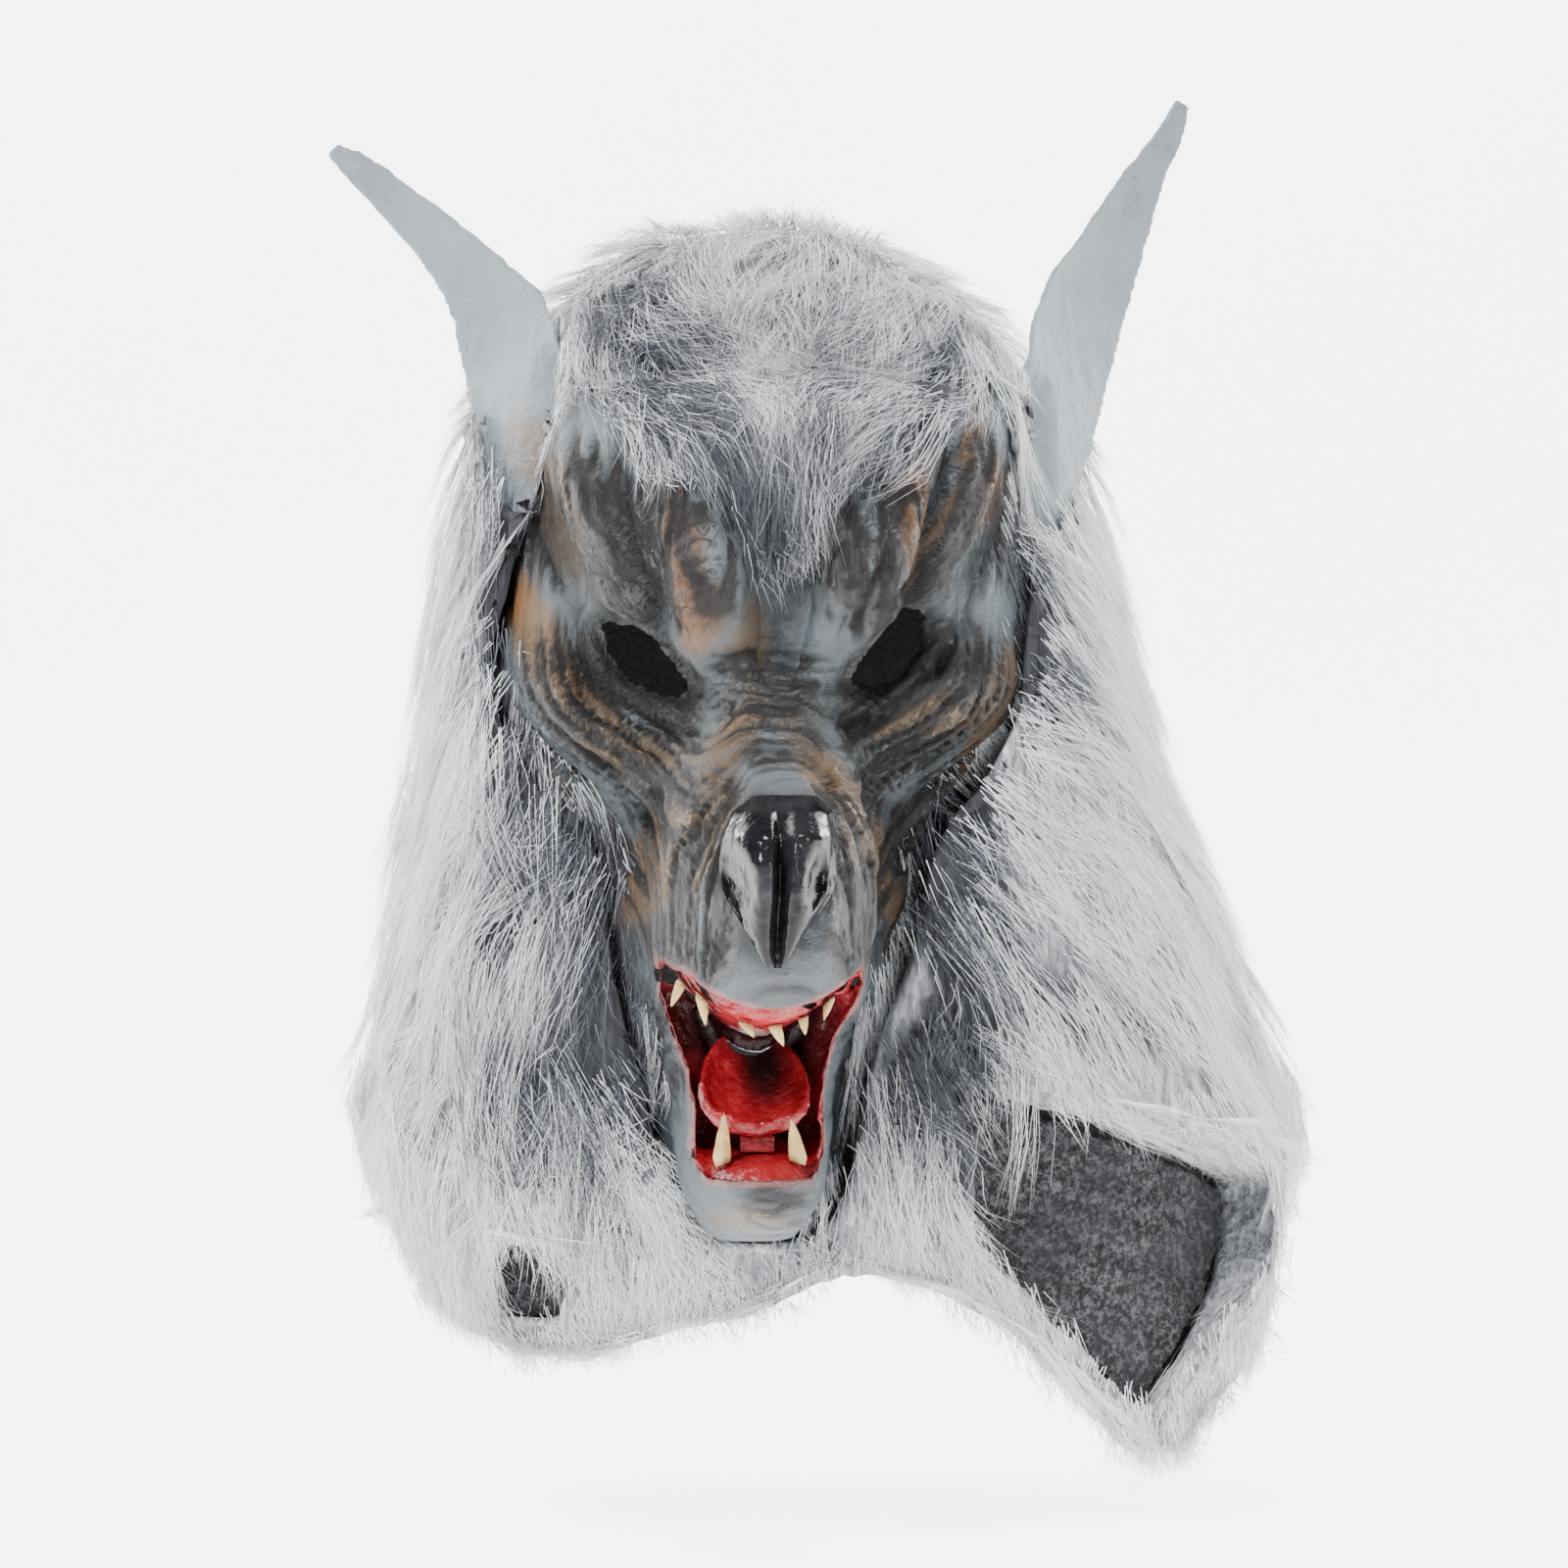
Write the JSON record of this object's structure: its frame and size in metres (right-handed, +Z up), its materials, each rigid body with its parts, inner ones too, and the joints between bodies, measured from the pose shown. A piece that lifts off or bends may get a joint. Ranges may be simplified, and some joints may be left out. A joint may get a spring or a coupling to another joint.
{
  "type": "wolf mask",
  "caption": "Over-the-head snarling wolf mask: painted latex face with open fanged mouth and pointed ears, set in a grey and white long-pile fur hood.",
  "frame": {"origin": "where the crown of the wearer's head touches the inside of the hood, on the head's mid-plane", "axes": "+Z up, the face looks along -Y, +X is to the right as one looks at the face"},
  "size_m": [0.3014, 0.3278, 0.4078],
  "materials": {
    "latex_grey": "matte moulded latex, airbrushed pale blue-grey with ochre, brown and dark grey in the folds",
    "nose_black": "gloss black painted latex",
    "mouth_red": "glossy red painted latex",
    "tooth": "satin ivory painted latex, browner at the root",
    "fur": "long-pile faux fur, white guard hairs over dark grey",
    "knit": "dark grey melange knit backing cloth"
  },
  "bodies": {
    "root": {"hood_backing": "knit", "face_shell": "latex_grey", "ear_left": "latex_grey", "ear_right": "latex_grey", "fur_crown": "fur", "fur_left": "fur", "fur_right": "fur", "fur_back": "fur", "fur_forelock": "fur", "nose": "nose_black", "hem_patch_right": "knit", "hem_patch_left": "knit", "mouth_lining": "mouth_red", "tongue": "mouth_red", "tongue_strap": "mouth_red", "upper_tooth_1": "tooth", "upper_tooth_2": "tooth", "upper_tooth_3": "tooth", "upper_tooth_4": "tooth", "upper_tooth_5": "tooth", "upper_tooth_6": "tooth", "lower_fang_left": "tooth", "lower_fang_right": "tooth"}
  },
  "joints": []
}
